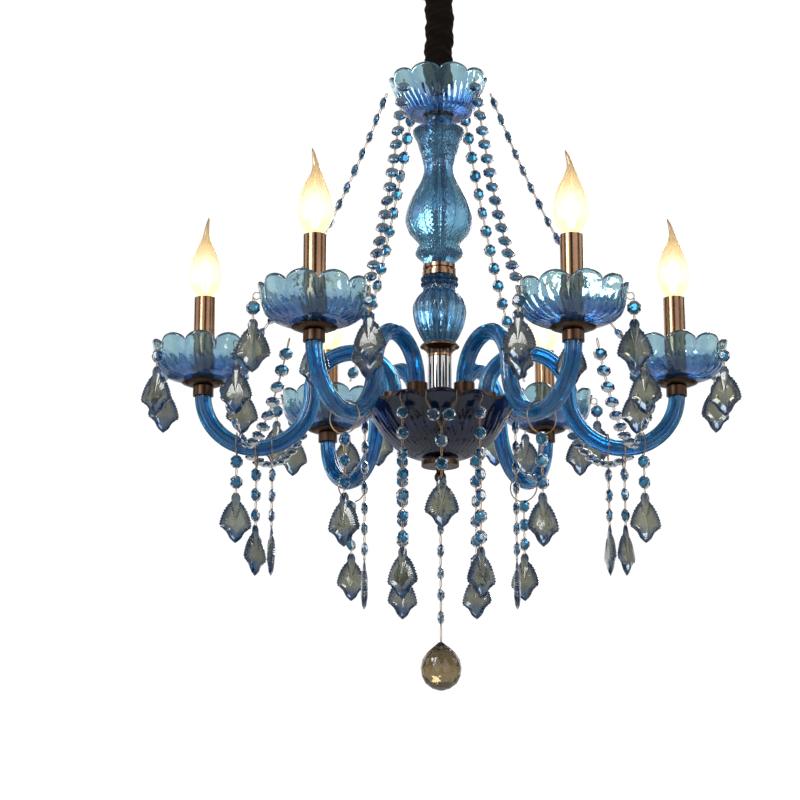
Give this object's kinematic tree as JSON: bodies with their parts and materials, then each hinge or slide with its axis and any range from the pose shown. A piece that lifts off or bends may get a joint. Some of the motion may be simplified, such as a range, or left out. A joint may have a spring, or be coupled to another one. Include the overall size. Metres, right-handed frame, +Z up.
{
  "type": "crystal chandelier",
  "caption": "Chain-hung crystal chandelier with scrolled glass arms, scalloped cups, candle bulbs, bead strands and leaf pendants.",
  "frame": {"origin": "centre of the ceiling bracket's top face, at the ceiling", "axes": "+Z up towards the ceiling; +X along the bracket and one pair of arms; -Y is the front"},
  "size_m": [0.5846, 0.5248, 0.784],
  "materials": {
    "dark_metal": "satin dark bronze",
    "chrome": "polished",
    "copper_metal": "satin rose gold",
    "black_fabric": "gathered velvet",
    "cable": "smooth clear insulation",
    "socket_plastic": "moulded",
    "bowl_glass": "pressed and fluted",
    "column_glass": "diamond cut and ribbed",
    "arm_glass": "ribbed",
    "bulb_glass": "clear, lit",
    "bead_glass": "faceted",
    "leaf_glass": "faceted, smoky",
    "ball_glass": "faceted"
  },
  "bodies": {
    "ceiling": {"ceiling_bracket": "dark_metal", "ceiling_canopy": "chrome", "canopy_nuts": "chrome", "ceiling_hook": "dark_metal"},
    "chain_body": {"chain": "dark_metal", "chain_sleeve": "black_fabric", "power_lead": "cable"},
    "loop_body": {"top_loop": "dark_metal"},
    "bulb_body_1": {"bulb_1": "bulb_glass"},
    "arm_drop_body_1": {"arm_drop_1": "leaf_glass"},
    "bowl_drop_body_1": {"bowl_drop_1": "leaf_glass"},
    "bulb_body_2": {"bulb_2": "bulb_glass"},
    "arm_drop_body_2": {"arm_drop_2": "leaf_glass"},
    "bowl_drop_body_2": {"bowl_drop_2": "leaf_glass"},
    "bulb_body_3": {"bulb_3": "bulb_glass"},
    "arm_drop_body_3": {"arm_drop_3": "leaf_glass"},
    "bowl_drop_body_3": {"bowl_drop_3": "leaf_glass"},
    "bulb_body_4": {"bulb_4": "bulb_glass"},
    "arm_drop_body_4": {"arm_drop_4": "leaf_glass"},
    "bowl_drop_body_4": {"bowl_drop_4": "leaf_glass"},
    "bulb_body_5": {"bulb_5": "bulb_glass"},
    "arm_drop_body_5": {"arm_drop_5": "leaf_glass"},
    "bowl_drop_body_5": {"bowl_drop_5": "leaf_glass"},
    "bulb_body_6": {"bulb_6": "bulb_glass"},
    "arm_drop_body_6": {"arm_drop_6": "leaf_glass"},
    "bowl_drop_body_6": {"bowl_drop_6": "leaf_glass"},
    "front_drop_body": {"front_drop": "leaf_glass"},
    "ball_drop_body": {"ball_drop": "ball_glass"},
    "lamp_body": {"arm_1": "arm_glass", "arm_2": "arm_glass", "arm_3": "arm_glass", "arm_4": "arm_glass", "arm_5": "arm_glass", "arm_6": "arm_glass", "arm_ferrules": "dark_metal", "arm_hub": "dark_metal", "arm_wires": "cable", "beaded_collars": "column_glass", "bottom_bowl": "bowl_glass", "bowl_spacer": "dark_metal", "candle_tubes": "copper_metal", "centre_rod": "chrome", "column_tube": "chrome", "cup_1": "bowl_glass", "cup_2": "bowl_glass", "cup_3": "bowl_glass", "cup_4": "bowl_glass", "cup_5": "bowl_glass", "cup_6": "bowl_glass", "cup_drops": "leaf_glass", "cup_saucers": "dark_metal", "finial": "dark_metal", "lamp_sockets": "socket_plastic", "lower_baluster": "column_glass", "lower_collar": "copper_metal", "spacer_rings": "copper_metal", "swags": "bead_glass", "top_bowl": "bowl_glass", "upper_baluster": "column_glass", "upper_strands": "bead_glass"}
  },
  "joints": [
    {"name": "chain_swing", "type": "hinge", "parent": "ceiling", "child": "chain_body", "pos_m": [0, 0, -0.0606], "axis": [1, 0, 0], "range_deg": [-10, 10]},
    {"name": "lamp_swing", "type": "hinge", "parent": "chain_body", "child": "loop_body", "pos_m": [0, 0, -0.1318], "axis": [0, 1, 0], "range_deg": [-10, 10]},
    {"name": "lamp_turn", "type": "hinge", "parent": "loop_body", "child": "lamp_body", "pos_m": [0, 0, -0.156], "axis": [0, 0, 1], "range_deg": [-90, 90]},
    {"name": "bulb_unscrew_1", "type": "hinge", "parent": "lamp_body", "child": "bulb_body_1", "pos_m": [0.24, 0, -0.395], "axis": [0, 0, 1], "range_deg": [0, 900]},
    {"name": "arm_drop_rock_1", "type": "hinge", "parent": "lamp_body", "child": "arm_drop_body_1", "pos_m": [0.185, 0, -0.54], "axis": [1, 0, 0], "range_deg": [-15, 15]},
    {"name": "bowl_drop_swing_1", "type": "hinge", "parent": "lamp_body", "child": "bowl_drop_body_1", "pos_m": [0.0735, 0, -0.499], "axis": [1, 0, 0], "range_deg": [-10, 10]},
    {"name": "bulb_unscrew_2", "type": "hinge", "parent": "lamp_body", "child": "bulb_body_2", "pos_m": [0.12, 0.20785, -0.395], "axis": [0, 0, 1], "range_deg": [0, 900]},
    {"name": "arm_drop_rock_2", "type": "hinge", "parent": "lamp_body", "child": "arm_drop_body_2", "pos_m": [0.0925, 0.16021, -0.54], "axis": [0.5, 0.866, 0], "range_deg": [-15, 15]},
    {"name": "bowl_drop_swing_2", "type": "hinge", "parent": "lamp_body", "child": "bowl_drop_body_2", "pos_m": [0.03675, 0.06365, -0.499], "axis": [0.5, 0.866, 0], "range_deg": [-10, 10]},
    {"name": "bulb_unscrew_3", "type": "hinge", "parent": "lamp_body", "child": "bulb_body_3", "pos_m": [-0.12, 0.20785, -0.395], "axis": [0, 0, 1], "range_deg": [0, 900]},
    {"name": "arm_drop_rock_3", "type": "hinge", "parent": "lamp_body", "child": "arm_drop_body_3", "pos_m": [-0.0925, 0.16021, -0.54], "axis": [-0.5, 0.866, 0], "range_deg": [-15, 15]},
    {"name": "bowl_drop_swing_3", "type": "hinge", "parent": "lamp_body", "child": "bowl_drop_body_3", "pos_m": [-0.03675, 0.06365, -0.499], "axis": [-0.5, 0.866, 0], "range_deg": [-10, 10]},
    {"name": "bulb_unscrew_4", "type": "hinge", "parent": "lamp_body", "child": "bulb_body_4", "pos_m": [-0.24, 0, -0.395], "axis": [0, 0, 1], "range_deg": [0, 900]},
    {"name": "arm_drop_rock_4", "type": "hinge", "parent": "lamp_body", "child": "arm_drop_body_4", "pos_m": [-0.185, 0, -0.54], "axis": [-1, 0, 0], "range_deg": [-15, 15]},
    {"name": "bowl_drop_swing_4", "type": "hinge", "parent": "lamp_body", "child": "bowl_drop_body_4", "pos_m": [-0.0735, 0, -0.499], "axis": [-1, 0, 0], "range_deg": [-10, 10]},
    {"name": "bulb_unscrew_5", "type": "hinge", "parent": "lamp_body", "child": "bulb_body_5", "pos_m": [-0.12, -0.20785, -0.395], "axis": [0, 0, 1], "range_deg": [0, 900]},
    {"name": "arm_drop_rock_5", "type": "hinge", "parent": "lamp_body", "child": "arm_drop_body_5", "pos_m": [-0.0925, -0.16021, -0.54], "axis": [-0.5, -0.866, 0], "range_deg": [-15, 15]},
    {"name": "bowl_drop_swing_5", "type": "hinge", "parent": "lamp_body", "child": "bowl_drop_body_5", "pos_m": [-0.03675, -0.06365, -0.499], "axis": [-0.5, -0.866, 0], "range_deg": [-10, 6]},
    {"name": "bulb_unscrew_6", "type": "hinge", "parent": "lamp_body", "child": "bulb_body_6", "pos_m": [0.12, -0.20785, -0.395], "axis": [0, 0, 1], "range_deg": [0, 900]},
    {"name": "arm_drop_rock_6", "type": "hinge", "parent": "lamp_body", "child": "arm_drop_body_6", "pos_m": [0.0925, -0.16021, -0.54], "axis": [0.5, -0.866, 0], "range_deg": [-15, 15]},
    {"name": "bowl_drop_swing_6", "type": "hinge", "parent": "lamp_body", "child": "bowl_drop_body_6", "pos_m": [0.03675, -0.06365, -0.499], "axis": [0.5, -0.866, 0], "range_deg": [-6, 10]},
    {"name": "front_drop_swing", "type": "hinge", "parent": "lamp_body", "child": "front_drop_body", "pos_m": [0, -0.0745, -0.501], "axis": [1, 0, 0], "range_deg": [-15, 3]},
    {"name": "ball_drop_swing", "type": "hinge", "parent": "lamp_body", "child": "ball_drop_body", "pos_m": [0, 0, -0.587], "axis": [1, 0, 0], "range_deg": [-12, 12]}
  ]
}
